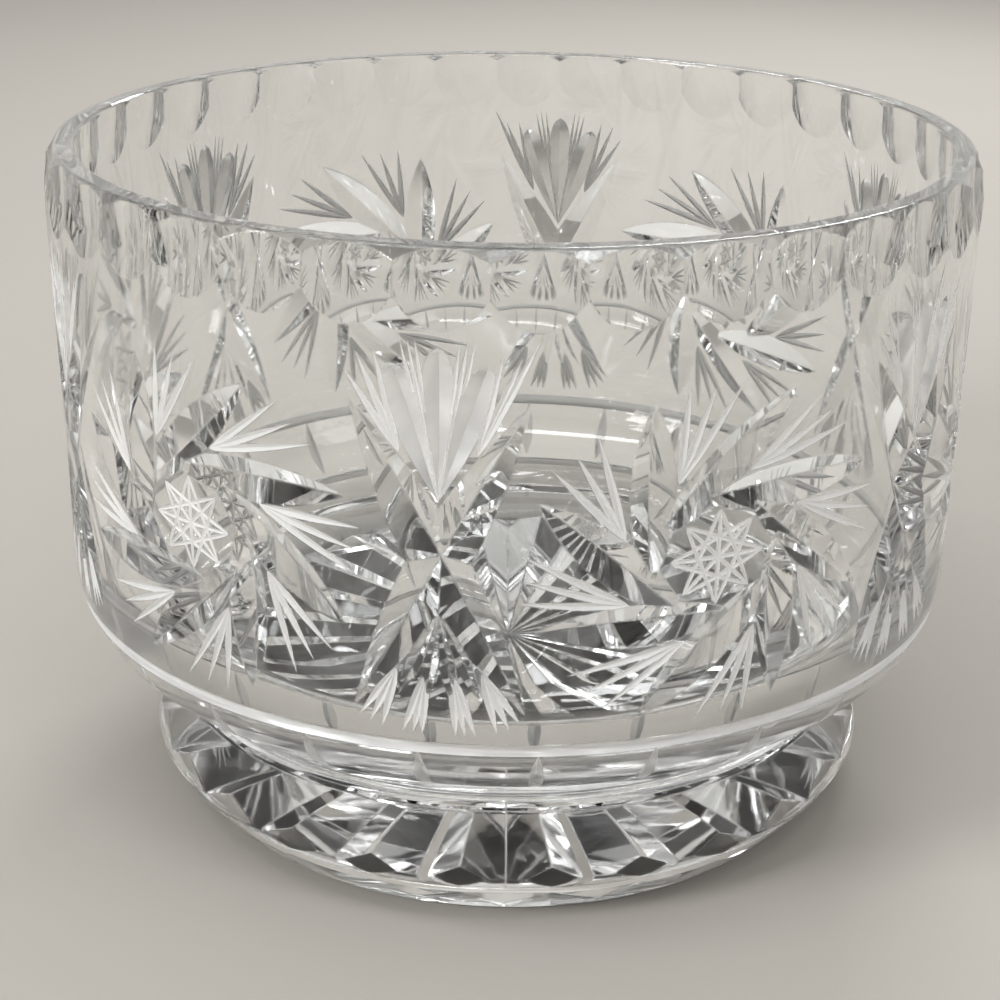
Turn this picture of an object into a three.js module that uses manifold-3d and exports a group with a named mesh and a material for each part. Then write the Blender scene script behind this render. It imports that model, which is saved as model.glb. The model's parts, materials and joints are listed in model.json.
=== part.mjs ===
// A cut crystal bowl on a heavy foot. Units are millimetres, +Z is up, and the origin is the middle of
// the face that the bowl stands on. Seen from -Y, an hourglass cut is in the middle of the front.

import * as THREE from 'three';
import { mergeVertices, toCreasedNormals } from 'three/addons/utils/BufferGeometryUtils.js';
import Module from 'manifold-3d';

const wasm = await Module();
wasm.setup();

// Body of the bowl
const body_radius = 99.6;
const wall_thickness = 6.8;
const wall_taper = 0.4;
const overall_height = 148;
const rim_edge = 0.7;
const rim_bevel = 2.6;
const rim_bevel_drop = 3.5;
const shoulder_height = 56.5;
const shoulder_radius = 22;
const inner_corner_radius = 26;
const base_thickness = 12;

// Foot under the body
const foot_height = 26;
const foot_radius = 83.6;
const foot_top_inset = 4.6;
const foot_edge_height = 11;
const foot_edge_round = 0.8;
const foot_bevel = 9;
const rest_width = 5;

// Neck between the body and the foot
const neck_radius = 77.5;
const neck_height = 2;
const neck_flare = 3;

// Turned grooves round the lower body
const groove_width = 2.8;
const groove_depth = 1.1;
const upper_groove_drop = 5;
const lower_groove_drop = 20.6;

// Flutes round the rim, each deepest at its top
const flute_count = 37;
const flute_turn = 0.3;
const flute_height = 14.3;
const flute_depth = 2.4;
const flute_radius = 33;

// Wheel cuts: half the width of a cut is this many times its depth
const wheel_spread_share = 1.5;
const cutter_overrun = 1;

// Pinwheels, each a little wider than it is tall
const motif_pairs = 6;
const pinwheel_height = 89;
const pinwheel_width_share = 1.06;
const pinwheel_height_share = 0.955;
const pinwheel_ring = 12.3;
const blade_count = 8;
const blade_overlap = 4.5;
const blade_length = 37;
const blade_half_width = 4.3;
const blade_lean = 1.3;
const blade_width_shares = [0, 0.9, 0.9, 0];

// Hourglasses, each of two crossed cuts with a fan above and a fan below
const hourglass_height = 90;
const hourglass_half_width = 16.2;
const hourglass_half_height = 30.6;
const hourglass_cut_half_width = 5.2;
const hourglass_cut_shares = [0, 0.75, 1, 0.75, 0];
const leaf_root = 12;
const leaf_length = 27;
const leaf_half_width = 2.9;
const leaf_width_shares = [0, 0.75, 1, 0];
const leaf_turns = [-19, 0, 19];
const feather_root = 10;
const feather_length = 19;
const feather_half_width = 1.5;
const feather_width_shares = [0, 1, 0];
const feather_turns = [-24, -8, 8, 24];

// Olive cuts between the two grooves
const olive_count = 27;
const olive_turn = -2.5;
const olive_margin = 2.6;
const olive_half_width = 1.4;
const olive_width_shares = [0, 1, 0];

// Star cut under the foot
const star_rays = 24;
const star_centre_depth = 9;
const star_valley_depth = 8;
const star_ridge_depth = 3;

// Facets of the round forms
const round_segments = 72;
const corner_steps = 4;
const flute_segments = 72;
const crease_angle = 19;

const degree = Math.PI / 180;
const full_turn = 2 * Math.PI;

const crystal = new THREE.MeshStandardMaterial({ color: 0xe4ecea, roughness: 0.04, metalness: 0 });
const foot_crystal = new THREE.MeshStandardMaterial({ color: 0xdde6e3, roughness: 0.05, metalness: 0 });

// A closed solid from a geometry, without the seams and the flat triangles at its poles
function solid_of(geometry) {
  const bare = geometry.index ? geometry.clone() : geometry;
  bare.deleteAttribute('normal');
  bare.deleteAttribute('uv');
  const merged = mergeVertices(bare);
  const corners = merged.index.array;
  const kept = [];
  for (let i = 0; i < corners.length; i += 3) {
    const [a, b, c] = [corners[i], corners[i + 1], corners[i + 2]];
    if (a !== b && b !== c && c !== a) kept.push(a, b, c);
  }
  const vertProperties = Float32Array.from(merged.attributes.position.array);
  return new wasm.Manifold(new wasm.Mesh({ numProp: 3, vertProperties, triVerts: Uint32Array.from(kept) }));
}

function geometry_of(solid) {
  const mesh = solid.getMesh();
  const geometry = new THREE.BufferGeometry();
  geometry.setAttribute('position', new THREE.BufferAttribute(mesh.vertProperties, 3));
  geometry.setIndex(new THREE.BufferAttribute(mesh.triVerts, 1));
  return toCreasedNormals(geometry, crease_angle * degree);
}

// A turned form: the outline is a list of [radius, height], from the axis round to the axis
function turned(outline, segments) {
  const points = outline.map(([radius, height]) => new THREE.Vector2(radius, height));
  return new THREE.LatheGeometry(points, segments).rotateX(Math.PI / 2);
}

function arc(centre_radius, centre_height, radius, from_angle, to_angle, steps) {
  const points = [];
  for (let i = 0; i <= steps; i += 1) {
    const angle = from_angle + ((to_angle - from_angle) * i) / steps;
    points.push([centre_radius + radius * Math.cos(angle), centre_height + radius * Math.sin(angle)]);
  }
  return points;
}

// Outside of the body
const shoulder_wall_radius = body_radius - wall_taper;
const shoulder_centre = shoulder_wall_radius - shoulder_radius;

function wall_radius(height) {
  const share = (height - shoulder_height) / (overall_height - shoulder_height);
  return shoulder_wall_radius + wall_taper * share;
}

function shoulder_angle(drop) {
  return -Math.asin(drop / shoulder_radius);
}

function shoulder_point(angle, raised) {
  const reach = shoulder_radius + raised;
  return [shoulder_centre + reach * Math.cos(angle), shoulder_height + reach * Math.sin(angle)];
}

// A groove turned into the shoulder, from its lower edge to its upper edge
function groove(angle) {
  const half = groove_width / 2 / shoulder_radius;
  return [shoulder_point(angle - half, 0), shoulder_point(angle, -groove_depth), shoulder_point(angle + half, 0)];
}

function body_outline() {
  const upper = shoulder_angle(upper_groove_drop);
  const lower = shoulder_angle(lower_groove_drop);
  const half = groove_width / 2 / shoulder_radius;
  const between = arc(shoulder_centre, shoulder_height, shoulder_radius, lower + half, upper - half, corner_steps);
  const above = arc(shoulder_centre, shoulder_height, shoulder_radius, upper + half, 0, 1);
  const inner_radius = body_radius - wall_thickness;
  const inner_wall = shoulder_wall_radius - wall_thickness;
  const floor = foot_height + base_thickness;
  const bevel_height = overall_height - rim_bevel_drop;
  const corner = arc(
    inner_wall - inner_corner_radius,
    floor + inner_corner_radius,
    inner_corner_radius,
    0,
    -Math.PI / 2,
    corner_steps,
  );
  return [
    [0, foot_height],
    [neck_radius, foot_height],
    [neck_radius, foot_height + neck_height],
    [neck_radius + neck_flare, foot_height + neck_height + neck_flare],
    ...groove(lower),
    ...between.slice(1, -1),
    ...groove(upper),
    ...above.slice(1),
    [wall_radius(bevel_height), bevel_height],
    [body_radius - rim_bevel, overall_height],
    [inner_radius + rim_edge, overall_height],
    [inner_radius, overall_height - rim_edge],
    ...corner,
    [0, floor],
  ];
}

// The cutter of one rim flute: a rod that leans towards the bowl at its top. Its inner line runs from the
// flute's foot on the wall to the flute's depth at the rim.
function flute_cutter(turn) {
  const foot_level = overall_height - flute_height;
  const foot_reach = wall_radius(foot_level);
  const top_reach = body_radius - flute_depth;
  const lean = Math.atan2(foot_reach - top_reach, flute_height);
  const length = 2 * flute_height;
  const rod = new THREE.CylinderGeometry(flute_radius, flute_radius, length, flute_segments);
  rod.rotateX(Math.PI / 2 - lean);
  const axis_reach = (foot_reach + top_reach) / 2 + flute_radius * Math.cos(lean);
  const axis_level = (foot_level + overall_height) / 2 + flute_radius * Math.sin(lean);
  return solid_of(rod.translate(0, -axis_reach, axis_level).rotateZ(turn));
}

// The cutter of one wheel cut. It runs straight from start to end on the unrolled surface, and
// place(across, up, out) gives the point of space for a place on that surface.
function wheel_cutter(start, end, half_width, width_shares, place) {
  const run = new THREE.Vector2(end[0] - start[0], end[1] - start[1]);
  const side = new THREE.Vector2(run.y, -run.x).normalize();
  const last = width_shares.length - 1;
  const vertices = [];
  width_shares.forEach((share, i) => {
    const across = start[0] + (run.x * i) / last;
    const up = start[1] + (run.y * i) / last;
    const depth = (half_width * share) / wheel_spread_share;
    const reach = (depth + cutter_overrun) * wheel_spread_share;
    vertices.push(
      ...place(across - side.x * reach, up - side.y * reach, cutter_overrun),
      ...place(across + side.x * reach, up + side.y * reach, cutter_overrun),
      ...place(across, up, -depth),
    );
  });
  const faces = [2, 1, 0];
  for (let i = 0; i < last; i += 1) {
    for (let k = 0; k < 3; k += 1) {
      const [a, b] = [3 * i + k, 3 * i + ((k + 1) % 3)];
      faces.push(a, b, b + 3, a, b + 3, a + 3);
    }
  }
  faces.push(3 * last, 3 * last + 1, 3 * last + 2);
  const geometry = new THREE.BufferGeometry();
  geometry.setAttribute('position', new THREE.Float32BufferAttribute(vertices, 3));
  geometry.setIndex(faces);
  return solid_of(geometry);
}

function space_point(radius, turn, height) {
  return [radius * Math.sin(turn), -radius * Math.cos(turn), height];
}

// Places on the wall round a motif whose middle is at this turn and height
function wall_place(middle_turn, middle_height) {
  return (across, up, out) => {
    const height = middle_height + up;
    const radius = wall_radius(height);
    return space_point(radius + out, middle_turn + across / radius, height);
  };
}

// Places on the shoulder, where up is counted along its curve from the upper groove
function shoulder_place(middle_turn) {
  const from_angle = shoulder_angle(upper_groove_drop);
  return (across, up, out) => {
    const [radius, height] = shoulder_point(from_angle + up / shoulder_radius, out);
    return space_point(radius, middle_turn + across / radius, height);
  };
}

function turned_point(radius, angle) {
  return [radius * Math.cos(angle), radius * Math.sin(angle)];
}

// Eight blades, each leaving the ring round the star along its tangent. A blade starts a little before
// the ring, inside the blade behind it.
function pinwheel_cutters(turn) {
  const place = wall_place(turn, pinwheel_height);
  const cutters = [];
  for (let i = 0; i < blade_count; i += 1) {
    const angle = (full_turn * i) / blade_count;
    const heading = angle - Math.PI / 2 + blade_lean * degree;
    const ring_point = turned_point(pinwheel_ring, angle);
    const [start, end] = [-blade_overlap, blade_length - blade_overlap].map((along) => {
      const run = turned_point(along, heading);
      return [
        (ring_point[0] + run[0]) * pinwheel_width_share,
        (ring_point[1] + run[1]) * pinwheel_height_share,
      ];
    });
    cutters.push(wheel_cutter(start, end, blade_half_width, blade_width_shares, place));
  }
  return cutters;
}

// Cuts that spread from one root, at these turns from straight up or straight down
function fan_cutters(place, root, length, turns, upward, half_width, width_shares) {
  return turns.map((turn) => {
    const angle = turn * degree;
    const end = [length * Math.sin(angle), root + upward * length * Math.cos(angle)];
    return wheel_cutter([0, root], end, half_width, width_shares, place);
  });
}

function hourglass_cutters(turn) {
  const place = wall_place(turn, hourglass_height);
  const crossed = [-1, 1].map((hand) =>
    wheel_cutter(
      [hand * hourglass_half_width, hourglass_half_height],
      [-hand * hourglass_half_width, -hourglass_half_height],
      hourglass_cut_half_width,
      hourglass_cut_shares,
      place,
    ),
  );
  const leaves = fan_cutters(place, leaf_root, leaf_length, leaf_turns, 1, leaf_half_width, leaf_width_shares);
  const feathers = fan_cutters(
    place,
    -feather_root,
    feather_length,
    feather_turns,
    -1,
    feather_half_width,
    feather_width_shares,
  );
  return [...crossed, ...leaves, ...feathers];
}

function olive_cutter(turn) {
  const band = (shoulder_angle(upper_groove_drop) - shoulder_angle(lower_groove_drop)) * shoulder_radius;
  return wheel_cutter(
    [0, -olive_margin],
    [0, olive_margin - band],
    olive_half_width,
    olive_width_shares,
    shoulder_place(turn),
  );
}

function turns_of(count, first_turn) {
  return Array.from({ length: count }, (_, i) => first_turn + (full_turn * i) / count);
}

function make_body() {
  const motif_turn = Math.PI / motif_pairs;
  const cutters = [
    ...turns_of(flute_count, flute_turn * degree).map(flute_cutter),
    ...turns_of(motif_pairs, 0).flatMap(hourglass_cutters),
    ...turns_of(motif_pairs, motif_turn).flatMap(pinwheel_cutters),
    ...turns_of(olive_count, olive_turn * degree).map(olive_cutter),
  ];
  let body = solid_of(turned(body_outline(), round_segments));
  for (const cutter of cutters) body = body.subtract(cutter);
  const mesh = new THREE.Mesh(geometry_of(body), crystal);
  mesh.name = 'cut_bowl';
  return mesh;
}

function foot_outline() {
  const bevel_foot = foot_radius - foot_bevel;
  return [
    [0, 0],
    [bevel_foot, 0],
    [foot_radius - foot_edge_round, foot_edge_height - foot_edge_round],
    [foot_radius, foot_edge_height],
    [foot_radius - foot_edge_round / 2, foot_edge_height + foot_edge_round],
    [foot_radius - foot_top_inset, foot_height],
    [0, foot_height],
  ];
}

// The star under the foot: ridges and valleys run from the middle to the resting ring
function star_cutter() {
  const radius = foot_radius - foot_bevel - rest_width;
  const sides = 2 * star_rays;
  const below = -cutter_overrun;
  const vertices = [0, 0, star_centre_depth, 0, 0, below];
  for (let i = 0; i < sides; i += 1) {
    const turn = (full_turn * i) / sides;
    const depth = i % 2 === 0 ? star_valley_depth : star_ridge_depth;
    vertices.push(...space_point(radius, turn, depth), ...space_point(radius, turn, below));
  }
  const faces = [];
  for (let i = 0; i < sides; i += 1) {
    const [top, bottom] = [2 + 2 * i, 3 + 2 * i];
    const next_top = 2 + 2 * ((i + 1) % sides);
    const next_bottom = next_top + 1;
    faces.push(0, top, next_top, 1, next_bottom, bottom);
    faces.push(top, bottom, next_bottom, top, next_bottom, next_top);
  }
  const geometry = new THREE.BufferGeometry();
  geometry.setAttribute('position', new THREE.Float32BufferAttribute(vertices, 3));
  geometry.setIndex(faces);
  return solid_of(geometry);
}

function make_foot() {
  const foot = solid_of(turned(foot_outline(), round_segments)).subtract(star_cutter());
  const mesh = new THREE.Mesh(geometry_of(foot), foot_crystal);
  mesh.name = 'rayed_foot';
  return mesh;
}

const bowl = new THREE.Group();
bowl.add(make_body(), make_foot());

export default bowl;
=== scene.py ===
import json
import math

import bmesh
import bpy
import numpy as np
from mathutils import Matrix

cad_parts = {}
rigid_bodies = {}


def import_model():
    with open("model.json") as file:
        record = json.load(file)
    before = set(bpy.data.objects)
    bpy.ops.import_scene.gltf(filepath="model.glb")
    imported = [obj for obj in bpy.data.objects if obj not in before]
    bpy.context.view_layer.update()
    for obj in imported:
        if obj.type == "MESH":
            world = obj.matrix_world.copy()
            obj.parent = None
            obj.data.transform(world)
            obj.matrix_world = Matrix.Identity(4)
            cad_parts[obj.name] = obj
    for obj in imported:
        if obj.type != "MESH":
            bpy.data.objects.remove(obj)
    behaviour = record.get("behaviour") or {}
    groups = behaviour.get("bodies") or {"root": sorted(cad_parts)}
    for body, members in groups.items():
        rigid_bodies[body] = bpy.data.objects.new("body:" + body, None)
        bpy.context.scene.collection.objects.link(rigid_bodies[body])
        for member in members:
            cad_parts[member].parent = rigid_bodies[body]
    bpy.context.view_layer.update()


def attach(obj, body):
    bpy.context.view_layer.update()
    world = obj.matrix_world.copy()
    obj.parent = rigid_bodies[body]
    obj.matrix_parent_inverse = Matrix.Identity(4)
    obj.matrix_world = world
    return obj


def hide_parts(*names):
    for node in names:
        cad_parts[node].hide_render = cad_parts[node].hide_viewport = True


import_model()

bl_info = {
    "name": "Cut crystal bowl",
    "version": (1, 0, 0),
    "blender": (4, 5, 0),
    "location": "3D View > Sidebar > Crystal Bowl",
    "description": "A footed bowl of cut lead crystal, and the stage that it stands on",
    "category": "Add Mesh",
}

MM = 0.001
DEGREE = math.pi / 180
FULL_TURN = 2 * math.pi


def linear(code):
    """The linear red, green and blue of an sRGB hex colour."""
    parts = [int(code[i : i + 2], 16) / 255 for i in (1, 3, 5)]
    return tuple(p / 12.92 if p <= 0.04045 else ((p + 0.055) / 1.055) ** 2.4 for p in parts)


def property_of(kind, default, **settings):
    """Makes properties of one kind, whose default is worked out from a value."""

    def made(name, description, value):
        return kind(name=name, description=description, default=default(value), **settings)

    return made


# What a user can change: a length, an angle, a plain ratio, a count and a colour
size = property_of(
    bpy.props.FloatProperty,
    lambda mm: mm * MM,
    min=0.0,
    precision=4,
    subtype="DISTANCE",
    unit="LENGTH",
)
turn = property_of(bpy.props.FloatProperty, math.radians, subtype="ANGLE", unit="ROTATION")
share = property_of(bpy.props.FloatProperty, float, min=0.0)
number = property_of(bpy.props.IntProperty, int, min=1)
colour = property_of(
    bpy.props.FloatVectorProperty, linear, min=0.0, max=1.0, size=3, subtype="COLOR"
)


class BowlBody(bpy.types.PropertyGroup):
    """Sizes of the blown body before it is cut."""

    radius: size("Radius", "Outside radius at the rim, before the flutes are cut", 99.6)
    height: size("Height", "Height of the rim above the table", 148)
    wall: size("Wall", "Thickness of the wall", 6.8)
    taper: size("Taper", "How much narrower the wall is at the shoulder than at the rim", 0.4)
    rim_edge: size("Rim edge", "Radius of the rim's inner edge", 0.7)
    rim_bevel: size("Rim bevel", "Width of the slope round the outside of the rim", 2.6)
    rim_bevel_drop: size("Rim bevel drop", "Height of the slope round the outside of the rim", 3.5)
    shoulder_height: size("Shoulder height", "Height where the wall turns in", 56.5)
    shoulder_radius: size("Shoulder radius", "Radius of the shoulder's curve", 22)
    inner_corner: size("Inner corner", "Radius where the inner wall meets the floor", 26)
    base: size("Base", "Thickness of the floor of the bowl", 12)
    neck_radius: size("Neck radius", "Radius where the body joins the foot", 77.5)
    neck_height: size("Neck height", "Height of the straight part of the neck", 2)
    neck_flare: size("Neck flare", "How far the neck widens above its straight part", 3)
    groove_width: size("Groove width", "Width of the two turned grooves", 2.8)
    groove_depth: size("Groove depth", "Depth of the two turned grooves", 1.1)
    upper_groove: size("Upper groove", "Drop from the shoulder height to the upper groove", 5)
    lower_groove: size("Lower groove", "Drop from the shoulder height to the lower groove", 20.6)


class BowlFoot(bpy.types.PropertyGroup):
    """Sizes of the applied foot and of the star under it."""

    height: size("Height", "Height of the foot", 26)
    radius: size("Radius", "Greatest radius of the foot", 83.6)
    top_inset: size("Top inset", "How much narrower the foot is at its top", 4.6)
    edge_height: size("Edge height", "Height of the foot's widest line", 11)
    edge_softness: size("Edge softness", "How far the widest line is rounded", 1.6)
    bevel: size("Bevel", "How much narrower the foot is where it rests", 9)
    rest_width: size("Rest width", "Width of the ring that the bowl rests on", 5)
    star_rays: number("Star rays", "Rays of the star cut under the foot", 24)
    star_centre: size("Star centre", "Depth of the star at its middle", 9)
    star_valley: size("Star valley", "Depth of its cuts at the resting ring", 8)
    star_ridge: size("Star ridge", "Depth between its cuts at the resting ring", 3)


class BowlRim(bpy.types.PropertyGroup):
    """Sizes of the flutes round the rim."""

    count: number("Flutes", "Flutes round the rim", 37)
    first_turn: turn("First turn", "Turn of the first flute", 0.3)
    height: size("Height", "Height of a flute", 14.3)
    depth: size("Depth", "Depth of a flute at the rim", 2.4)
    hollow: size("Hollow", "Radius of a flute's hollow", 33)
    bow: size("Bow", "How much deeper a flute is at half its height than a straight one", 0.45)


class BowlPinwheel(bpy.types.PropertyGroup):
    """Sizes of the six pinwheels."""

    height: size("Height", "Height of the middle of a pinwheel", 89)
    widening: share("Widening", "How much wider a pinwheel is than a round one", 1.06)
    flattening: share("Flattening", "How tall a pinwheel is beside a round one", 0.955)
    ring: size("Ring", "Radius of the ring that the blades leave", 12.3)
    blade_overlap: size("Blade overlap", "How far a blade starts before the ring", 4.5)
    blade_length: size("Blade length", "Length of a blade", 37)
    blade_half_width: size("Blade half width", "Half the width of a blade", 4.3)
    blade_lean: turn("Blade lean", "How far a blade leans outward from the ring", 1.3)
    ray_root: size("Ray root", "Distance of the ground rays' root from the middle", 18)
    ray_root_turn: turn("Ray root turn", "Turn of the root, behind its blade", 18)
    ray_half_width: size("Ray half width", "Half the width of a ground ray", 0.75)
    star_radius: size("Star radius", "Radius of the ground star", 9.6)
    star_half_width: size("Star half width", "Half the width of the star's lines", 0.45)


class BowlHourglass(bpy.types.PropertyGroup):
    """Sizes of the six hourglasses."""

    height: size("Height", "Height where the two long cuts cross", 90)
    half_width: size("Half width", "Half the width between the cuts' tips", 16.2)
    half_height: size("Half height", "Half the height between the cuts' tips", 30.6)
    cut_half_width: size("Cut half width", "Half the width of a long cut", 5.2)
    leaf_root: size("Leaf root", "Height of the leaves' root above the crossing", 12)
    leaf_length: size("Leaf length", "Length of the outer leaves", 27)
    middle_leaf_length: size("Middle leaf length", "Length of the middle leaf", 28.7)
    leaf_turn: turn("Leaf turn", "Turn of the outer leaves", 19)
    leaf_half_width: size("Leaf half width", "Half the width of a leaf", 2.9)
    feather_root: size("Feather root", "Depth of the feathers' root below the crossing", 10)
    feather_length: size("Feather length", "Length of a feather", 19)
    feather_half_width: size("Feather half width", "Half the width of a feather", 1.5)
    ray_half_width: size("Ray half width", "Half the width of a ground ray", 0.7)
    fan_half_width: size("Fan half width", "Half the width of a ray below the feathers", 0.85)


class BowlOlives(bpy.types.PropertyGroup):
    """Sizes of the olive cuts between the two grooves."""

    count: number("Olives", "Olive cuts round the shoulder", 27)
    first_turn: turn("First turn", "Turn of the first olive cut", -2.5)
    top_gap: size("Top gap", "Distance of an olive cut's top from the upper groove's middle", 1.0)
    low_gap: size("Low gap", "Distance of its lower end from the lower groove's middle", 2.6)
    half_width: size("Half width", "Half the width of an olive cut", 1.4)


class BowlFinish(bpy.types.PropertyGroup):
    """Colours of the glass and of the stage."""

    crystal: colour("Crystal", "Tint of the polished glass", "#FDFEFE")
    ground: colour("Ground", "Tint of the cuts left grey from the stone", "#FCFCFB")
    floor: colour("Floor", "Colour of the floor", "#BAB5AD")


class BowlStage(bpy.types.PropertyGroup):
    """Sizes of the stage."""

    floor_width: size("Floor width", "Width of the round floor", 30000)
    camera_distance: size("Camera distance", "Distance of the camera from the bowl's axis", 409.8)
    camera_height: size("Camera height", "Height of the camera", 233.7)
    camera_turn: turn("Camera turn", "Turn of the camera round the bowl", 7.3)
    camera_pitch: turn("Camera pitch", "How far the camera looks down", 22.84)
    camera_yaw: turn("Camera yaw", "How far the camera looks left of the bowl's axis", 0.302)
    camera_roll: turn("Camera roll", "How far the camera is turned about its line of sight", 0.604)


# Widths of wheel cuts. A pair of powers shapes a cut from its start to its end: equal powers
# give a lens, and a smaller second power gives a leaf that is widest near its end.
LENS = (1.0, 1.0)
BLADE = (0.9, 0.9)
LEAF = (1.1, 0.5)
RAY = (0.7, 1.1)
LINE = (0.35, 0.35)
# Half the width of a cut over its depth, and how far its cutter stands out of the glass
WHEEL_SPREAD = 1.5
OVERRUN = 1.0 * MM

# Places and lengths on the motifs are in millimetres, and turns in degrees.

# Tips of the ground rays beside a blade: distance from the middle, and turn behind the blade
PINWHEEL_RAY_TIPS = ((36.2, 34.1), (34.9, 41.6), (35.0, 50.0))
# Turns and length of the ground rays that spread between the leaves
BETWEEN_LEAVES = (-12.5, -10.0, -7.5, 7.5, 10.0, 12.5)
BETWEEN_LEAVES_LENGTH = 31.0
# Fans of ground rays outside the leaves: a root, and tips beside and above the crossing
OUTER_FANS = (
    ((-7.0, 21.0), ((-11.5, 40.0), (-14.8, 39.5), (-17.0, 36.0))),
    ((7.0, 21.0), ((11.5, 40.0), (14.8, 39.5), (17.8, 42.5))),
)
CROSSING_LINE = ((0.0, 2.5), (0.0, -11.0))
FEATHER_TURNS = (-24.0, -8.5, 8.5, 24.0)
# Fans of ground rays below the feathers: a root, and tips beside and below the crossing
FEATHER_FANS = (
    ((2.5, -22.6), ((3.2, -35.8), (5.0, -35.6), (7.0, -35.3))),
    ((8.0, -21.8), ((10.9, -34.6), (13.2, -33.6), (15.2, -32.4))),
)
MOTIF_PAIRS = 6
BLADES = 8
STAR_POINTS = 8

# Fineness of the meshes
ROUND_SEGMENTS = 240
ROD_SEGMENTS = 144
FLOOR_SIDES = 96
RING_SPACING = 8 * MM
CORNER_STEPS = 6
GROOVE_STEPS = 10
SHOULDER_STEPS = 16
SHOULDER_TOP_STEPS = 4
INNER_CORNER_STEPS = 22
FLUTE_RINGS = 16
CUT_RING_SPACING = 1.6 * MM
CUT_RINGS = (8, 22)
CREASE = 18 * DEGREE
JOINT_TOLERANCE = 0.01 * MM

# How far small corners of the turned forms are rounded, and the neck's as shares of its sizes
TOP_SOFTNESS = 0.5 * MM
REST_SOFTNESS = 0.35 * MM
NECK_SOFTNESS = (0.6, 0.4)
# A flute's rod reaches this share of the flute's height past its middle, both ways
ROD_REACH = 0.8

# Where a piece's turned surface, and the body's flutes, stand among its materials
TURNED = 0
FLUTED = 1
LEAD_CRYSTAL_IOR = 1.545
EDGE_SOFTNESS = 0.6 * MM
# Polished finishes: a name, and length and height of the waves or ripples in millimetres
WALL = ("Fire-polished lead crystal", 24.0, 0.05)
FOOT_SIDE = ("Fire-polished lead crystal foot", 18.0, 0.04)
FLUTES = ("Ground and polished flutes in lead crystal", 8.0, 0.006)
CUTS = ("Wheel-cut lead crystal, acid-polished", 3.0, 0.004)
FOOT_STAR = ("Star cut in lead crystal, acid-polished", 5.0, 0.006)
# Fine-ground finishes: a name, and how much light gets through
SILKY = ("Fine-ground lead crystal", 0.66)
GROOVE = ("Fine-ground groove in lead crystal", 0.45)
# The fine stone's streaks are about 0.1 mm wide, so they are drawn wider to show
STREAK_WIDTH = 0.4 * MM
STREAK_LENGTH = 6 * MM
# The grit's own marks are under 0.1 mm, so they too are drawn wider
GRIT_WIDTH = 0.35 * MM
STONE_CLEARNESS = 0.45

# Colours of the backdrop by how far up it is: the sine of its angle above the floor
BACKDROP = (
    (0.0, "#CFCBC5"),
    (0.12, "#ECEAE5"),
    (0.35, "#C2C1BE"),
    (0.5, "#1E1F22"),
    (0.7, "#3C3D40"),
    (0.92, "#F2F1EE"),
)
# Soft lamps: width and height, power, distance, turn round the bowl and angle above it
LAMPS = {
    "Key": (0.32, 0.32, 7.2, 1.2, -45, 30),
    "Fill": (0.8, 0.8, 3.8, 1.4, 60, 35),
    "Back": (0.5, 0.14, 6.0, 1.3, 172, 33),
    "Ceiling": (1.2, 0.1, 3.5, 1.2, -10, 66),
}
LAMP_AIM_HEIGHT = 70 * MM
ROOM_LIGHT = 0.56
# The camera's lens and sensor, in millimetres
FOCAL_LENGTH = 68.7
SENSOR_WIDTH = 36.0
# Light crosses many faces on its way through cut glass
GLASS_BOUNCES = 28
# The floor lies a hair below the resting ring, so that the two never share a plane
FLOOR_LEVEL = -0.2 * MM
# Darkest and palest clouds in the floor's colour, and their width
FLOOR_CLOUDS = (0.97, 1.03)
CLOUD_WIDTH = 180 * MM


def add_node(tree, kind, inputs=None, **settings):
    """Adds a node with its settings. An input is a value, a socket, or a node's first output."""
    node = tree.nodes.new(kind)
    for name, value in settings.items():
        setattr(node, name, value)
    for name, value in (inputs or {}).items():
        if isinstance(value, bpy.types.Node):
            value = value.outputs[0]
        if isinstance(value, bpy.types.NodeSocket):
            tree.links.new(value, node.inputs[name])
        else:
            node.inputs[name].default_value = value
    return node


# Outlines of turned forms: lists of (radius, height) that run round the form, outside first


def arc(centre, radius, start, end, steps):
    """Points of a circular arc, with angles in radians."""
    angles = np.linspace(start, end, steps + 1)
    return [(centre[0] + radius * math.cos(a), centre[1] + radius * math.sin(a)) for a in angles]


def curve(start, pull, end, steps):
    """Points of a curve from start to end that bends towards one point."""
    shares = np.linspace(0, 1, steps + 1)
    return [tuple((1 - t) ** 2 * start + 2 * t * (1 - t) * pull + t * t * end) for t in shares]


def bow(start, middle, end, steps):
    """Points of a shallow curve from start to end whose own middle is given."""
    a, m, b = (np.array(p, float) for p in (start, middle, end))
    return curve(a, 2 * m - (a + b) / 2, b, steps)


def soft_corner(before, corner, after, reach, steps=CORNER_STEPS):
    """Points that round a corner, starting and ending this far from it."""
    a, c, b = (np.array(p, float) for p in (before, corner, after))
    start = c + (a - c) / np.linalg.norm(a - c) * reach
    end = c + (b - c) / np.linalg.norm(b - c) * reach
    return curve(start, c, end, steps)


def with_rings(outline):
    """The same outline with points added, so that none lie further apart than the ring spacing."""
    filled = [outline[0]]
    for start, end in zip(outline, outline[1:]):
        steps = max(1, math.ceil(math.dist(start, end) / RING_SPACING))
        for i in range(1, steps + 1):
            t = i / steps
            filled.append((start[0] + (end[0] - start[0]) * t, start[1] + (end[1] - start[1]) * t))
    return filled


def shoulder_wall(body):
    return body.radius - body.taper


def shoulder_angle(body, drop):
    return -math.asin(drop / body.shoulder_radius)


def shoulder_point(body, angle, raised):
    """A place on the shoulder's curve, or raised from it."""
    reach = body.shoulder_radius + raised
    centre = shoulder_wall(body) - body.shoulder_radius
    return centre + reach * np.cos(angle), body.shoulder_height + reach * np.sin(angle)


def wall_radius(body, height):
    """Outside radius of the wall at a height."""
    share_up = (height - body.shoulder_height) / (body.height - body.shoulder_height)
    return shoulder_wall(body) + body.taper * share_up


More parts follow.
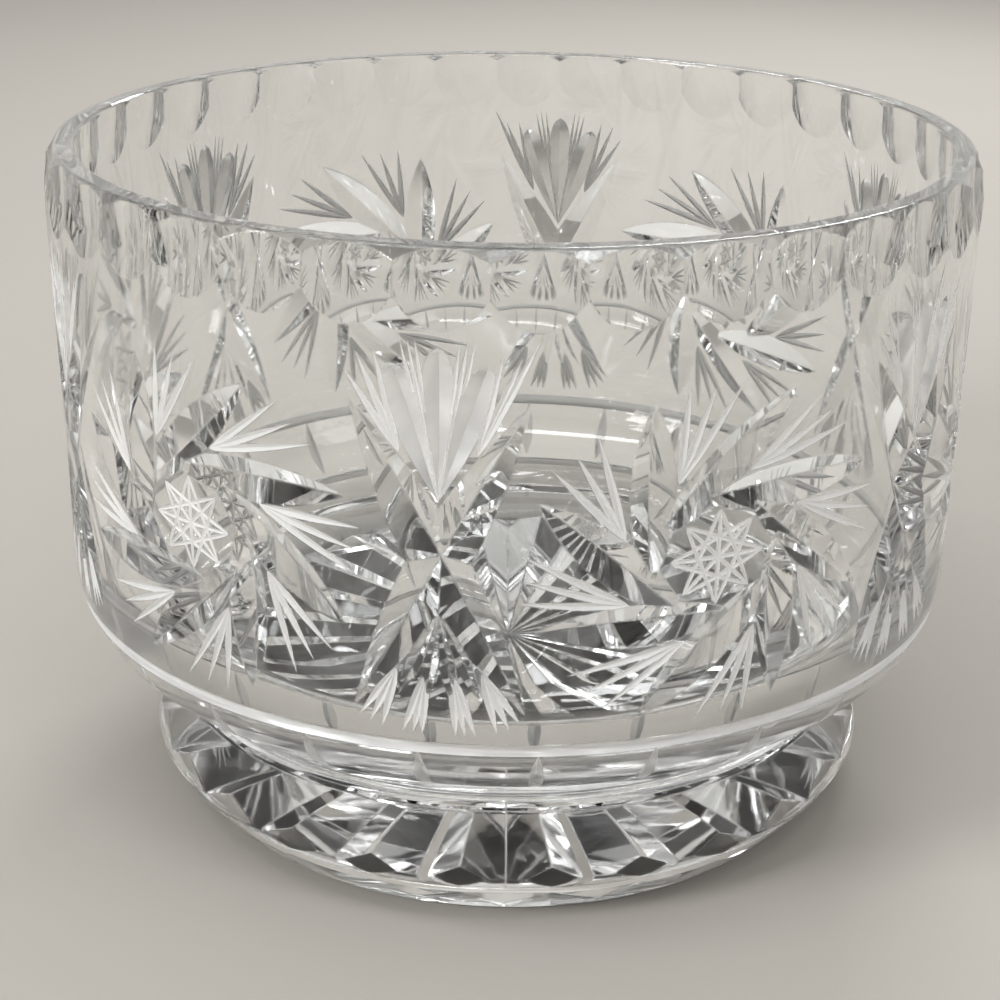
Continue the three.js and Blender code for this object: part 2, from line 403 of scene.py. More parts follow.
def body_outline(body, foot):
    """Outline of the uncut body, from the joint with the foot over the rim to the floor."""
    half_groove = body.groove_width / 2 / body.shoulder_radius
    lower = shoulder_angle(body, body.lower_groove)
    upper = shoulder_angle(body, body.upper_groove)
    centre = (shoulder_wall(body) - body.shoulder_radius, body.shoulder_height)

    def groove(angle):
        return bow(
            shoulder_point(body, angle - half_groove, 0),
            shoulder_point(body, angle, -body.groove_depth),
            shoulder_point(body, angle + half_groove, 0),
            GROOVE_STEPS,
        )

    def shoulder(start, end, steps):
        return arc(centre, body.shoulder_radius, start, end, steps)[1:]

    neck_low = (body.neck_radius, foot.height)
    neck_top = (body.neck_radius, foot.height + body.neck_height)
    flare = (body.neck_radius + body.neck_flare, foot.height + body.neck_height + body.neck_flare)
    under = shoulder_point(body, lower - half_groove, 0)
    inner_top = body.radius - body.wall
    inner_low = shoulder_wall(body) - body.wall
    floor = foot.height + body.base
    quarter = math.pi / 2
    edge, inner = body.rim_edge, body.inner_corner
    bevel_foot = body.height - body.rim_bevel_drop
    bevel_low = (wall_radius(body, bevel_foot), bevel_foot)
    bevel_top = (body.radius - body.rim_bevel, body.height)
    return with_rings(
        [(0, foot.height), neck_low]
        + soft_corner(neck_low, neck_top, flare, body.neck_height * NECK_SOFTNESS[0])
        + soft_corner(neck_top, flare, under, body.neck_flare * NECK_SOFTNESS[1])
        + groove(lower)
        + shoulder(lower + half_groove, upper - half_groove, SHOULDER_STEPS)[:-1]
        + groove(upper)
        + shoulder(upper + half_groove, 0, SHOULDER_TOP_STEPS)
        + [bevel_low]
        + soft_corner(bevel_low, bevel_top, (inner_top, body.height), TOP_SOFTNESS)
        + arc((inner_top + edge, body.height - edge), edge, quarter, 2 * quarter, CORNER_STEPS)
        + arc((inner_low - inner, floor + inner), inner, 0, -quarter, INNER_CORNER_STEPS)
        + [(0, floor)]
    )


def foot_outline(foot):
    """Outline of the foot before its star is cut."""
    rest = (foot.radius - foot.bevel, 0)
    widest = (foot.radius, foot.edge_height)
    top = (foot.radius - foot.top_inset, foot.height)
    low = (0.0, 0.0)
    middle = (0.0, foot.height)
    return with_rings(
        [low]
        + soft_corner(low, rest, widest, REST_SOFTNESS, steps=3)
        + soft_corner(rest, widest, top, foot.edge_softness, steps=10)
        + soft_corner(widest, top, middle, TOP_SOFTNESS, steps=4)
        + [middle]
    )


# Meshes


def mesh_of(name, vertices, faces):
    """A closed mesh whose faces point outwards."""
    mesh = bpy.data.meshes.new(name)
    mesh.from_pydata([tuple(v) for v in vertices], [], faces)
    work = bmesh.new()
    work.from_mesh(mesh)
    bmesh.ops.recalc_face_normals(work, faces=work.faces)
    work.to_mesh(mesh)
    work.free()
    return mesh


def turned_mesh(name, outline, segments):
    """A turned form about the upright axis. Its outline starts and ends on the axis."""
    angles = np.arange(segments) * FULL_TURN / segments
    circle = np.stack([np.cos(angles), np.sin(angles)], 1)
    vertices = [(0, 0, outline[0][1])]
    for radius, height in outline[1:-1]:
        vertices += [(x, y, height) for x, y in radius * circle]
    vertices.append((0, 0, outline[-1][1]))
    last = len(vertices) - 1
    top = last - segments
    faces = []
    for j in range(segments):
        k = (j + 1) % segments
        faces.append((0, 1 + k, 1 + j))
        for low in range(1, top, segments):
            high = low + segments
            faces.append((low + j, low + k, high + k, high + j))
        faces.append((top + j, top + k, last))
    return mesh_of(name, vertices, faces)


def space_points(radius, around, height):
    """Points of space for a radius, a turn from the front and a height."""
    places = (radius * np.sin(around), -radius * np.cos(around), height)
    return np.stack(np.broadcast_arrays(*places), -1)


def wall_place(body, middle):
    """Places on the wall beside and above the front point at this height."""

    def place(across, up, out):
        height = middle + up
        radius = wall_radius(body, height)
        return space_points(radius + out, across / radius, height)

    return place


def shoulder_place(body):
    """Places on the shoulder, where up is counted along its curve from the upper groove."""
    start = shoulder_angle(body, body.upper_groove)

    def place(across, up, out):
        radius, height = shoulder_point(body, start + up / body.shoulder_radius, out)
        return space_points(radius, across / radius, height)

    return place


def cut_width(t, powers):
    """Width of a cut along its length, as a share of its greatest width."""
    a, b = powers
    widest = a / (a + b)
    inside = np.clip(t, 0, 1)
    return inside**a * (1 - inside) ** b / (widest**a * (1 - widest) ** b)


def cut_mesh(name, cuts, place):
    """The wheel's path for cuts that don't touch: the ridge of glass that each takes away.

    A cut is a start, an end, half its greatest width and the powers of its width.
    """
    vertices = []
    faces = []
    for start, end, half_width, powers in cuts:
        start, end = np.array(start, float), np.array(end, float)
        run = end - start
        length = np.linalg.norm(run)
        side = np.array([run[1], -run[0]]) / length
        last = int(np.clip(length / CUT_RING_SPACING, *CUT_RINGS))
        ease = (1 - np.cos(np.linspace(0, math.pi, last + 1))) / 2
        t = 0.5 * ease + 0.5 * np.linspace(0, 1, last + 1)
        depth = half_width * cut_width(t, powers) / WHEEL_SPREAD
        spine = start + run * t[:, None]
        aside = side * ((depth + OVERRUN) * WHEEL_SPREAD)[:, None]
        lines = ((spine - aside, OVERRUN), (spine + aside, OVERRUN), (spine, -depth))
        stations = np.stack([place(*line.T, out) for line, out in lines], 1)
        first = len(vertices)
        vertices += list(stations.reshape(-1, 3))
        faces.append((first + 2, first + 1, first))
        for i in range(last):
            for k in range(3):
                a, b = first + 3 * i + k, first + 3 * i + (k + 1) % 3
                faces.append((a, b, b + 3, a + 3))
        end_face = first + 3 * last
        faces.append((end_face, end_face + 1, end_face + 2))
    return mesh_of(name, vertices, faces)


def polar(distance, angle):
    return np.array([distance * math.cos(angle), distance * math.sin(angle)])


def pinwheel_cuts(wheel):
    """Groups of cuts of one pinwheel. No two cuts of a group touch."""
    stretch = np.array([wheel.widening, wheel.flattening])
    angles = [FULL_TURN * i / BLADES for i in range(BLADES)]

    def blade(angle):
        heading = polar(1, angle - math.pi / 2 + wheel.blade_lean)
        start = polar(wheel.ring, angle) - heading * wheel.blade_overlap
        end = start + heading * wheel.blade_length
        return start * stretch, end * stretch, wheel.blade_half_width, BLADE

    def ray(angle, distance, behind):
        root = polar(wheel.ray_root, angle - wheel.ray_root_turn)
        tip = polar(distance * MM, angle - behind * DEGREE)
        return root * stretch, tip * stretch, wheel.ray_half_width, RAY

    groups = [("blade", "cut", [blade(a) for a in angles[first::2]]) for first in (0, 1)]
    for tip in PINWHEEL_RAY_TIPS:
        groups.append(("pinwheel_ray", "ground", [ray(a, *tip) for a in angles]))
    for i in range(STAR_POINTS):
        ends = [polar(wheel.star_radius, FULL_TURN * (i + k) / STAR_POINTS) for k in (0, 3)]
        groups.append(("star_line", "ground", [(*ends, wheel.star_half_width, LINE)]))
    for i in range(STAR_POINTS // 2):
        end = polar(wheel.star_radius, FULL_TURN * i / STAR_POINTS)
        groups.append(("star_line", "ground", [(-end, end, wheel.star_half_width, LINE)]))
    return groups


def fan_cuts(name, fan, half_width, hand=1):
    """Groups of one ground ray each, from a fan's root to its tips, or their mirror image."""
    root, tips = fan
    rays = [np.array([root, tip]) * (hand, 1) * MM for tip in tips]
    return [(name, "ground", [(*ends, half_width, RAY)]) for ends in rays]


def hourglass_cuts(glass):
    """Groups of cuts of one hourglass. No two cuts of a group touch."""
    groups = []
    for hand in (-1, 1):
        start = (hand * glass.half_width, glass.half_height)
        end = (-hand * glass.half_width, -glass.half_height)
        groups.append(("long_cut", "cut", [(start, end, glass.cut_half_width, LENS)]))
    root = np.array([0, glass.leaf_root])
    for hand in (-1, 0, 1):
        length = glass.leaf_length if hand else glass.middle_leaf_length
        end = root + polar(length, math.pi / 2 - hand * glass.leaf_turn)
        groups.append(("leaf", "silky", [(root, end, glass.leaf_half_width, LEAF)]))
    for degrees in BETWEEN_LEAVES:
        end = root + polar(BETWEEN_LEAVES_LENGTH * MM, math.pi / 2 - degrees * DEGREE)
        groups.append(("leaf_ray", "ground", [(root, end, glass.ray_half_width, RAY)]))
    for fan in OUTER_FANS:
        groups += fan_cuts("outer_ray", fan, glass.ray_half_width)
    line = np.array(CROSSING_LINE) * MM
    groups.append(("crossing_line", "ground", [(*line, glass.ray_half_width / 2, LINE)]))
    root = np.array([0, -glass.feather_root])
    for degrees in FEATHER_TURNS:
        end = root + polar(glass.feather_length, degrees * DEGREE - math.pi / 2)
        groups.append(("feather", "cut", [(root, end, glass.feather_half_width, LENS)]))
    for hand in (-1, 1):
        for fan in FEATHER_FANS:
            groups += fan_cuts("feather_ray", fan, glass.fan_half_width, hand)
    return groups


def olive_cuts(body, olives):
    """The one olive cut that is repeated round the shoulder."""
    upper, lower = (shoulder_angle(body, drop) for drop in (body.upper_groove, body.lower_groove))
    band = (upper - lower) * body.shoulder_radius
    return [((0, -olives.top_gap), (0, olives.low_gap - band), olives.half_width, LENS)]


def flute_rod(body, rim):
    """Lean of the rod that grinds a flute, and its middle's distance from the axis and height."""
    foot_level = body.height - rim.height
    foot_reach = wall_radius(body, foot_level)
    top_reach = body.radius - rim.depth
    lean = math.atan2(foot_reach - top_reach, rim.height)
    reach = (foot_reach + top_reach) / 2 + rim.hollow * math.cos(lean)
    level = (foot_level + body.height) / 2 + rim.hollow * math.sin(lean)
    return lean, reach, level


def rod_radius(rim, along):
    """Radius of the rod, a slight barrel, at a distance along it from the flute's middle."""
    return rim.hollow + rim.bow * (1 - (2 * along / rim.height) ** 2)


def flute_mesh(body, rim):
    """The barrel-shaped rod that grinds the front flute. Its top leans towards the bowl."""
    lean, reach, level = flute_rod(body, rim)
    steps = np.linspace(-ROD_REACH, ROD_REACH, FLUTE_RINGS + 1) * rim.height
    outline = [(0, steps[0]), *[(rod_radius(rim, s), s) for s in steps], (0, steps[-1])]
    mesh = turned_mesh("flute", outline, ROD_SEGMENTS)
    mesh.transform(Matrix.Translation((0, -reach, level)) @ Matrix.Rotation(-lean, 4, "X"))
    return mesh


def star_mesh(foot):
    """The star under the foot: ridges and valleys from the middle to the resting ring."""
    radius = foot.radius - foot.bevel - foot.rest_width
    sides = 2 * foot.star_rays
    turns = np.arange(sides) * FULL_TURN / sides
    depths = np.where(np.arange(sides) % 2 == 0, foot.star_valley, foot.star_ridge)
    tops = space_points(radius, turns, depths)
    bottoms = space_points(radius, turns, -OVERRUN)
    vertices = [(0, 0, foot.star_centre), (0, 0, -OVERRUN)] + list(tops) + list(bottoms)
    faces = []
    for i in range(sides):
        k = (i + 1) % sides
        faces.append((0, 2 + i, 2 + k))
        faces.append((1, 2 + sides + k, 2 + sides + i))
        faces.append((2 + i, 2 + sides + i, 2 + sides + k, 2 + k))
    return mesh_of("star", vertices, faces)


# Cutting


ROUND_INPUTS = (
    ("Geometry", "Geometry"),
    ("Count", "Int"),
    ("Pitch", "Float"),
    ("First turn", "Float"),
    ("Finish", "Material"),
)


def round_tree():
    """Geometry nodes that repeat a cutter evenly round the upright axis."""
    tree = bpy.data.node_groups.new("Repeat round the axis", "GeometryNodeTree")
    for name, kind in ROUND_INPUTS:
        tree.interface.new_socket(name, in_out="INPUT", socket_type="NodeSocket" + kind)
    tree.interface.new_socket("Geometry", in_out="OUTPUT", socket_type="NodeSocketGeometry")
    given = add_node(tree, "NodeGroupInput").outputs
    index = add_node(tree, "GeometryNodeInputIndex")
    turns = {0: index, 1: given["Pitch"], 2: given["First turn"]}
    around = add_node(tree, "ShaderNodeMath", turns, operation="MULTIPLY_ADD")
    rotation = add_node(tree, "ShaderNodeCombineXYZ", {"Z": around})
    points = add_node(tree, "GeometryNodePoints", {"Count": given["Count"]})
    places = {"Points": points, "Instance": given["Geometry"], "Rotation": rotation}
    placed = add_node(tree, "GeometryNodeInstanceOnPoints", places)
    real = add_node(tree, "GeometryNodeRealizeInstances", {"Geometry": placed})
    finish = {"Geometry": real, "Material": given["Finish"]}
    finished = add_node(tree, "GeometryNodeSetMaterial", finish)
    add_node(tree, "NodeGroupOutput", {"Geometry": finished})
    return tree


def evaluated_mesh(thing):
    """The mesh that an object's modifiers give."""
    graph = bpy.context.evaluated_depsgraph_get()
    return bpy.data.meshes.new_from_object(thing.evaluated_get(graph), depsgraph=graph)


def repeat_round(tree, store, name, mesh, count, pitch, first_turn, material):
    """Puts a cutter, repeated round the axis, in the store of cutters."""
    thing = bpy.data.objects.new(name, mesh)
    store.objects.link(thing)
    modifier = thing.modifiers.new("Round", "NODES")
    modifier.node_group = tree
    given = {"Count": count, "Pitch": pitch, "First turn": first_turn, "Finish": material}
    for item in tree.interface.items_tree:
        if item.in_out == "INPUT" and item.name in given:
            modifier[item.identifier] = given[item.name]
    solid = evaluated_mesh(thing)
    thing.modifiers.clear()
    thing.data = solid


def cut_away(blank, store, name):
    """The blank less every cutter in the store. A cut face has the material of its cutter."""
    modifier = blank.modifiers.new("Cuts", "BOOLEAN")
    modifier.operation = "DIFFERENCE"
    modifier.operand_type = "COLLECTION"
    modifier.collection = store
    modifier.solver = "MANIFOLD"
    modifier.material_mode = "TRANSFER"
    mesh = evaluated_mesh(blank)
    mesh.name = name
    for thing in [*store.objects, blank]:
        bpy.data.objects.remove(thing)
    bpy.data.collections.remove(store)
    return mesh


def new_store():
    store = bpy.data.collections.new("cutters")
    bpy.context.scene.collection.children.link(store)
    return store


def add_object(name, data):
    thing = bpy.data.objects.new(name, data)
    bpy.context.scene.collection.objects.link(thing)
    return thing


def new_blank(outline, materials):
    """A turned form before it is cut, with all the materials of its piece."""
    blank = add_object("blank", turned_mesh("blank", outline, ROUND_SEGMENTS))
    for material in materials:
        blank.data.materials.append(material)
    return blank


# Shading: a turned face takes the normals of its true curve, and bends light as smooth glass does


def outline_normals(outline):
    """The normals at both ends of each piece of an outline, smooth except across a crease."""
    points = np.array(outline, float)
    runs = np.diff(points, axis=0)
    lengths = np.linalg.norm(runs, axis=1)
    flat = np.stack([runs[:, 1], -runs[:, 0]], 1) / lengths[:, None]
    starts, ends = flat.copy(), flat.copy()
    for i in range(len(flat) - 1):
        if flat[i] @ flat[i + 1] > math.cos(CREASE):
            blend = flat[i] * lengths[i] + flat[i + 1] * lengths[i + 1]
            ends[i] = starts[i + 1] = blend / np.linalg.norm(blend)
    return starts, ends


def turned_normals(outline, middles, corners):
    """Normals at corners of turned faces, given each corner's face middle."""
    starts, ends = outline_normals(outline)
    points = np.array(outline, float)
    runs = np.diff(points, axis=0)
    squares = (runs**2).sum(1)
    flat_middles = np.stack([np.hypot(middles[:, 0], middles[:, 1]), middles[:, 2]], 1)
    shares = ((flat_middles[:, None] - points[None, :-1]) * runs).sum(2) / squares
    nearest = points[None, :-1] + np.clip(shares, 0, 1)[:, :, None] * runs
    piece = np.linalg.norm(flat_middles[:, None] - nearest, axis=2).argmin(1)
    radius = np.hypot(corners[:, 0], corners[:, 1])
    flat_corners = np.stack([radius, corners[:, 2]], 1)
    t = ((flat_corners - points[piece]) * runs[piece]).sum(1) / squares[piece]
    t = np.clip(t, 0, 1)[:, None]
    flat = starts[piece] * (1 - t) + ends[piece] * t
    flat /= np.linalg.norm(flat, axis=1)[:, None]
    # The radius is kept a hair above nought on the axis itself
    away = corners[:, :2] / np.maximum(radius, 1e-9)[:, None]
    return np.concatenate([away * flat[:, :1], flat[:, 1:]], 1)


def flute_normals(body, rim, middles, corners):
    """Normals at corners of flute faces: they point to the axis of the rod that ground them."""
    lean, reach, level = flute_rod(body, rim)
    pitch = FULL_TURN / rim.count
    around = np.arctan2(middles[:, 0], -middles[:, 1]) - rim.first_turn
    around = np.round(around / pitch) * pitch + rim.first_turn
    cos, sin = np.cos(around), np.sin(around)
    across = corners[:, 0] * cos + corners[:, 1] * sin
    away = corners[:, 0] * sin - corners[:, 1] * cos - reach
    above = corners[:, 2] - level
    along = above * math.cos(lean) - away * math.sin(lean)
    # Away from the rod's own line, and along it by the slope of the barrel there
    inward, up = away + along * math.sin(lean), above - along * math.cos(lean)
    distance = np.sqrt(across**2 + inward**2 + up**2)
    slope = -8 * rim.bow * along / rim.height**2
    inward = inward / distance + slope * math.sin(lean)
    up = up / distance - slope * math.cos(lean)
    across = across / distance
    normals = np.stack([-across * cos - inward * sin, -across * sin + inward * cos, -up], 1)
    return normals / np.linalg.norm(normals, axis=1)[:, None]


def vectors_of(items, name):
    """One vector of every item of a mesh, such as each vertex's place."""
    values = np.empty(len(items) * 3, np.float32)
    items.foreach_get(name, values)
    return values.reshape(-1, 3).astype(float)


def numbers_of(items, name):
    """One whole number of every item of a mesh, such as each face's material."""
    values = np.empty(len(items), np.int32)
    items.foreach_get(name, values)
    return values


def loops_of(mesh):
    """Each corner's place, its face's middle and its face's material."""
    corners = vectors_of(mesh.vertices, "co")[numbers_of(mesh.loops, "vertex_index")]
    totals = numbers_of(mesh.polygons, "loop_total")
    middles = np.repeat(vectors_of(mesh.polygons, "center"), totals, axis=0)
    return corners, middles, np.repeat(numbers_of(mesh.polygons, "material_index"), totals)


def shade(mesh, outline, flutes=None):
    """Smooth shading with true normals on turned faces and flutes."""
    mesh.shade_smooth()
    mesh.set_sharp_from_angle(angle=CREASE)
    corners, middles, finish = loops_of(mesh)
    normals = vectors_of(mesh.corner_normals, "vector")
    turned = finish == TURNED
    normals[turned] = turned_normals(outline, middles[turned], corners[turned])
    if flutes:
        fluted = finish == FLUTED
        normals[fluted] = flute_normals(*flutes, middles[fluted], corners[fluted])
    mesh.normals_split_custom_set([tuple(n) for n in normals])


def mark_faces(mesh, material, wanted):
    """Gives turned faces a material, where their distance from the axis and height are wanted."""
    mesh.materials.append(material)
    for face in mesh.polygons:
        x, y, height = face.center
        if face.material_index == TURNED and wanted(math.hypot(x, y), height):
            face.material_index = len(mesh.materials) - 1


def in_groove(body):
    """A test for places in one of the two turned grooves of the shoulder."""
    middle = shoulder_wall(body) - body.shoulder_radius
    half = body.groove_width / 2 / body.shoulder_radius
    angles = [shoulder_angle(body, drop) for drop in (body.upper_groove, body.lower_groove)]

    def wanted(radius, height):
        out, up = radius - middle, height - body.shoulder_height
        outside = math.hypot(out, up) > body.shoulder_radius - 2 * body.groove_depth
        return outside and min(abs(math.atan2(up, out) - angle) for angle in angles) < half

    return wanted


def at_joint(body, foot):
    """A test for places on the disc where the body and the foot are fused."""
    return lambda radius, height: (
        radius < body.neck_radius and abs(height - foot.height) < JOINT_TOLERANCE
    )


# Materials


def new_material(name):
    """An empty material and its node tree."""
    material = bpy.data.materials.new(name)
    material.use_nodes = True
    material.node_tree.nodes.clear()
    return material, material.node_tree


def lead_crystal(tree, tint, roughness, clearness, normal):
    """The shader of lead crystal, which is the less clear the more its surface is ground."""
    glass = {
        "Base Color": (*tint, 1),
        "Roughness": roughness,
        "IOR": LEAD_CRYSTAL_IOR,
        "Transmission Weight": clearness,
        "Normal": normal,
    }
    shader = add_node(tree, "ShaderNodeBsdfPrincipled", glass)
    add_node(tree, "ShaderNodeOutputMaterial", {"Surface": shader})


def glass_waves(tree, wave_mm, height_mm, detail=0.0):
    """Waves of this length and height in a glass surface whose edges are softened by polishing."""
    edges = add_node(tree, "ShaderNodeBevel", {"Radius": EDGE_SOFTNESS}, samples=4)
    place = add_node(tree, "ShaderNodeTexCoord").outputs["Object"]
    marks = {"Vector": place, "Scale": 1 / (wave_mm * MM), "Detail": detail, "Roughness": 0.4}
    waves = add_node(tree, "ShaderNodeTexNoise", marks)
    relief = {"Height": waves, "Strength": 1.0, "Distance": height_mm * MM, "Normal": edges}
    return add_node(tree, "ShaderNodeBump", relief)


def fire_polished_crystal(finish, name, wave_mm, height_mm):
    """Lead crystal, blown and fire-polished: clear, bright at its edges, with slow waves."""
    material, tree = new_material(name)
    waves = glass_waves(tree, wave_mm, height_mm)
    lead_crystal(tree, finish.crystal, 0.0, 1.0, waves)
    return material


def acid_polished_cut(finish, name, ripple_mm, height_mm):
    """Wheel-cut lead crystal, polished in acid: clear facets, faintly rippled by the wheel."""
    material, tree = new_material(name)
    ripple = glass_waves(tree, ripple_mm, height_mm, detail=1.0)
    lead_crystal(tree, finish.crystal, 0.02, 1.0, ripple)
    return material


def ground_surface(tree, pattern, relief, roughness):
    """Roughness and normals of ground glass: a pattern, its strength and depth, and a range."""
    rough = {"Value": pattern, "To Min": roughness[0], "To Max": roughness[1]}
    raised = {"Height": pattern, "Strength": relief[0], "Distance": relief[1] * MM}
    return add_node(tree, "ShaderNodeMapRange", rough), add_node(tree, "ShaderNodeBump", raised)


def stone_ground_cut(finish):
    """Lead crystal as the stone leaves it: grey-white, and it scatters what is behind it."""
    material, tree = new_material("Stone-ground lead crystal")
    place = add_node(tree, "ShaderNodeTexCoord").outputs["Object"]
    marks = {"Vector": place, "Scale": 1 / GRIT_WIDTH, "Detail": 3.0, "Roughness": 0.6}
    grit = add_node(tree, "ShaderNodeTexNoise", marks)
    rough, normal = ground_surface(tree, grit, (0.6, 0.05), (0.42, 0.62))
    lead_crystal(tree, finish.ground, rough, STONE_CLEARNESS, normal)
    return material


def upright_streaks(tree, place):
    """Places for streaks that run up the wall."""
    scale = (1 / STREAK_WIDTH, 1 / STREAK_WIDTH, 1 / STREAK_LENGTH)
    return add_node(tree, "ShaderNodeMapping", {"Vector": place, "Scale": scale})


def turned_streaks(tree, place):
    """Places for streaks that run round the axis."""
    height = add_node(tree, "ShaderNodeSeparateXYZ", {"Vector": place}).outputs["Z"]
    level = add_node(tree, "ShaderNodeMath", {0: height, 1: STREAK_WIDTH}, operation="DIVIDE")
    levels = add_node(tree, "ShaderNodeCombineXYZ", {"Z": level})
    turned = {0: place, 1: (1 / STREAK_LENGTH, 1 / STREAK_LENGTH, 0), 2: levels}
    return add_node(tree, "ShaderNodeVectorMath", turned, operation="MULTIPLY_ADD")


def fine_ground_cut(finish, streak_places, name, clearness):
    """Lead crystal smoothed on a fine stone: silky, half clear, streaked along the wheel's way."""
    material, tree = new_material(name)
    place = streak_places(tree, add_node(tree, "ShaderNodeTexCoord").outputs["Object"])
    marks = {"Vector": place, "Scale": 1.0, "Detail": 2.0, "Roughness": 0.5}
    streaks = add_node(tree, "ShaderNodeTexNoise", marks)
    rough, normal = ground_surface(tree, streaks, (0.5, 0.02), (0.08, 0.26))
    lead_crystal(tree, finish.ground, rough, clearness, normal)
    return material


def fused_joint():
    """Where two pieces of hot glass run together nothing is left to see."""
    material, tree = new_material("Fused joint in lead crystal")
    shader = add_node(tree, "ShaderNodeBsdfTransparent")
    add_node(tree, "ShaderNodeOutputMaterial", {"Surface": shader})
    return material


def matt_floor(finish):
    """A floor of matt painted board: pale, with very faint clouds in its colour."""
    material, tree = new_material("Matt painted board")
    place = add_node(tree, "ShaderNodeTexCoord").outputs["Object"]
    marks = {"Vector": place, "Scale": 1 / CLOUD_WIDTH, "Detail": 3.0}
    clouds = add_node(tree, "ShaderNodeTexNoise", marks)
    dark, pale = ((*[min(1.0, c * cloud) for c in finish.floor], 1) for cloud in FLOOR_CLOUDS)
    tint = add_node(tree, "ShaderNodeMix", {"Factor": clouds, 6: dark, 7: pale}, data_type="RGBA")
    board = {"Base Color": tint.outputs[2], "Roughness": 0.8, "Specular IOR Level": 0.2}
    shader = add_node(tree, "ShaderNodeBsdfPrincipled", board)
    add_node(tree, "ShaderNodeOutputMaterial", {"Surface": shader})
    return material


# Stage


def studio_world():
    """Soft light all round. The camera and the glass see a backdrop instead, dark half way up."""
    world = bpy.data.worlds.new("Studio")
    world.use_nodes = True
    tree = world.node_tree
    tree.nodes.clear()
    direction = add_node(tree, "ShaderNodeTexCoord").outputs["Generated"]
    up = add_node(tree, "ShaderNodeSeparateXYZ", {"Vector": direction}).outputs["Z"]
    backdrop = add_node(tree, "ShaderNodeValToRGB", {"Fac": up})
    ramp = backdrop.color_ramp
    for _ in range(len(BACKDROP) - len(ramp.elements)):
        ramp.elements.new(0.5)
    for element, (position, code) in zip(ramp.elements, BACKDROP):
        element.position = position
        element.color = (*linear(code), 1)
    rays = add_node(tree, "ShaderNodeLightPath").outputs
    shown = rays["Is Camera Ray"]
    for kind in ("Is Glossy Ray", "Is Transmission Ray"):
        shown = add_node(tree, "ShaderNodeMath", {0: shown, 1: rays[kind]}, operation="MAXIMUM")
    white = {"Color": (1, 1, 1, 1), "Strength": ROOM_LIGHT}
    room = add_node(tree, "ShaderNodeBackground", white)
    picture = add_node(tree, "ShaderNodeBackground", {"Color": backdrop, "Strength": 1.0})
    mixed = add_node(tree, "ShaderNodeMixShader", {0: shown, 1: room, 2: picture})
    add_node(tree, "ShaderNodeOutputWorld", {"Surface": mixed})
    bpy.context.scene.world = world


def soft_lamp(name, width, height, power, distance, azimuth, elevation):
    """A soft box that faces the bowl, from this turn round it and angle above it."""
    lamp = bpy.data.lights.new(name, "AREA")
    lamp.shape = "RECTANGLE"
    lamp.size, lamp.size_y = width, height
    lamp.energy = power
    thing = add_object(name, lamp)
    around = Matrix.Rotation(azimuth * DEGREE, 4, "Z")
    down = Matrix.Rotation((90 - elevation) * DEGREE, 4, "X")
    middle = Matrix.Translation((0, 0, LAMP_AIM_HEIGHT))
    thing.matrix_world = middle @ around @ down @ Matrix.Translation((0, 0, distance))


def photo_camera(stage):
    """A camera at the photograph's viewing angle, level but for a slight roll."""
    camera = bpy.data.cameras.new("Camera")
    camera.lens = FOCAL_LENGTH
    camera.sensor_width = SENSOR_WIDTH
    camera.sensor_fit = "HORIZONTAL"
    camera.clip_start = 0.01
    camera.dof.use_dof = False
    thing = add_object("Camera", camera)
    spot = Matrix.Translation((0, -stage.camera_distance, stage.camera_height))
    around, aside, roll = (
        Matrix.Rotation(angle, 4, "Z")
        for angle in (stage.camera_turn, stage.camera_yaw, stage.camera_roll)
    )
    down = Matrix.Rotation(math.pi / 2 - stage.camera_pitch, 4, "X")
    thing.matrix_world = around @ spot @ aside @ down @ roll
    bpy.context.scene.camera = thing


# Operators


class BOWL_OT_body(bpy.types.Operator):
    """Turn the body, cut its rim and its patterns, and put it in place of the plain one"""

    bl_idname = "bowl.body"
    bl_label = "Cut Body"

    def execute(self, context):
        scene = context.scene
        body, foot, rim = scene.bowl_body, scene.bowl_foot, scene.bowl_rim
        finish = scene.bowl_finish
        outline = body_outline(body, foot)
        wall = fire_polished_crystal(finish, *WALL)
        flute = acid_polished_cut(finish, *FLUTES)
        materials = {
            "cut": acid_polished_cut(finish, *CUTS),
            "ground": stone_ground_cut(finish),
            "silky": fine_ground_cut(finish, upright_streaks, *SILKY),
        }
        blank = new_blank(outline, (wall, flute, *materials.values()))
        store = new_store()
        tree = round_tree()
        # No two rods of one mesh may overlap: the even flutes, then the odd ones, then the last.
        pitch = FULL_TURN / rim.count
        half = rim.count // 2
        for count, first in ((half, 0), (half, 1), (rim.count - 2 * half, rim.count - 1)):
            if count:
                start = rim.first_turn + first * pitch
                rod = flute_mesh(body, rim)
                repeat_round(tree, store, "flute", rod, count, 2 * pitch, start, flute)
        pitch = FULL_TURN / MOTIF_PAIRS
        for settings, groups, start in (
            (scene.bowl_hourglass, hourglass_cuts(scene.bowl_hourglass), 0),
            (scene.bowl_pinwheel, pinwheel_cuts(scene.bowl_pinwheel), pitch / 2),
        ):
            place = wall_place(body, settings.height)
            for name, kind, cuts in groups:
                mesh = cut_mesh(name, cuts, place)
                repeat_round(tree, store, name, mesh, MOTIF_PAIRS, pitch, start, materials[kind])
        olives = scene.bowl_olives
        mesh = cut_mesh("olive", olive_cuts(body, olives), shoulder_place(body))
        pitch, start = FULL_TURN / olives.count, olives.first_turn
        repeat_round(tree, store, "olive", mesh, olives.count, pitch, start, materials["silky"])
        mesh = cut_away(blank, store, "bowl_body")
        shade(mesh, outline, (body, rim))
        mark_faces(mesh, fine_ground_cut(finish, turned_streaks, *GROOVE), in_groove(body))
        mark_faces(mesh, fused_joint(), at_joint(body, foot))
        piece = add_object("bowl_body", mesh)
        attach(piece, "root")
        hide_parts("cut_bowl")
        return {"FINISHED"}


